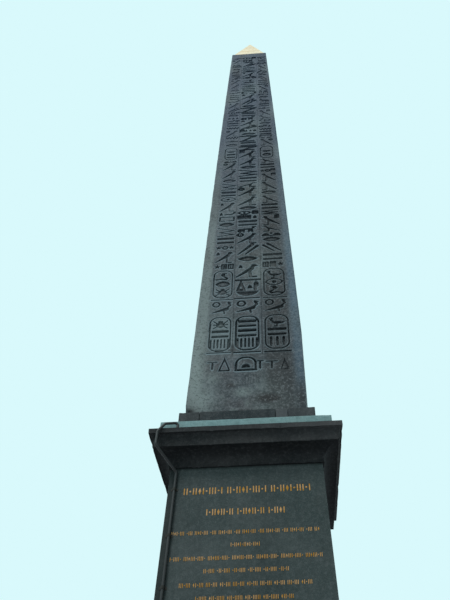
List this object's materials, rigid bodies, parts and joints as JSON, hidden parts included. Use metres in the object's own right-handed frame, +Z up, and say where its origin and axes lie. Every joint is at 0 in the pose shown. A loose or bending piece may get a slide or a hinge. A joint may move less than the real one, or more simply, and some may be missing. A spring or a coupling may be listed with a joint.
{
  "type": "granite obelisk on a moulded pedestal",
  "caption": "Tall tapered granite obelisk with a gilded pyramidal cap, standing on a stepped and moulded stone pedestal.",
  "frame": {"origin": "on the axis of the monument at ground level, the centre of the underside of the lower step", "axes": "+Z up along the shaft, -Y out of the front face, +X to the right of it"},
  "size_m": [5.6, 5.658, 33.37],
  "materials": {
    "shaft_granite": "dark rose-grey granite, honed and weathered",
    "pedestal_granite": "polished grey granite, weathered",
    "pale_granite": "fine pale grey granite, rubbed",
    "step_granite": "coarse grey granite, worn",
    "gilding": "gold leaf on bronze sheet",
    "cable_sheath": "dull black sheath",
    "cable_fittings": "dark weathered bronze"
  },
  "bodies": {
    "root": {"base_moulding": "pedestal_granite", "bearing_block": "pedestal_granite", "cap_bands": "gilding", "cap_hip_strips": "gilding", "cap_point": "gilding", "cap_sheet_back": "gilding", "cap_sheet_front": "gilding", "cap_sheet_left": "gilding", "cap_sheet_right": "gilding", "cap_skirt": "gilding", "collar_back": "pedestal_granite", "collar_front": "pedestal_granite", "collar_left": "pedestal_granite", "collar_right": "pedestal_granite", "conductor_cable": "cable_sheath", "conductor_gland": "cable_fittings", "conductor_saddles": "cable_fittings", "cornice": "pedestal_granite", "die": "pedestal_granite", "foundation_core": "step_granite", "ledge_course": "pale_granite", "lower_step_back": "step_granite", "lower_step_front": "step_granite", "lower_step_left": "step_granite", "lower_step_right": "step_granite", "plinth": "pedestal_granite", "shaft": "shaft_granite", "socle_back_left": "pedestal_granite", "socle_back_right": "pedestal_granite", "socle_front_left": "pedestal_granite", "socle_front_right": "pedestal_granite", "upper_step_back": "step_granite", "upper_step_front": "step_granite", "upper_step_left": "step_granite", "upper_step_right": "step_granite"}
  },
  "joints": []
}
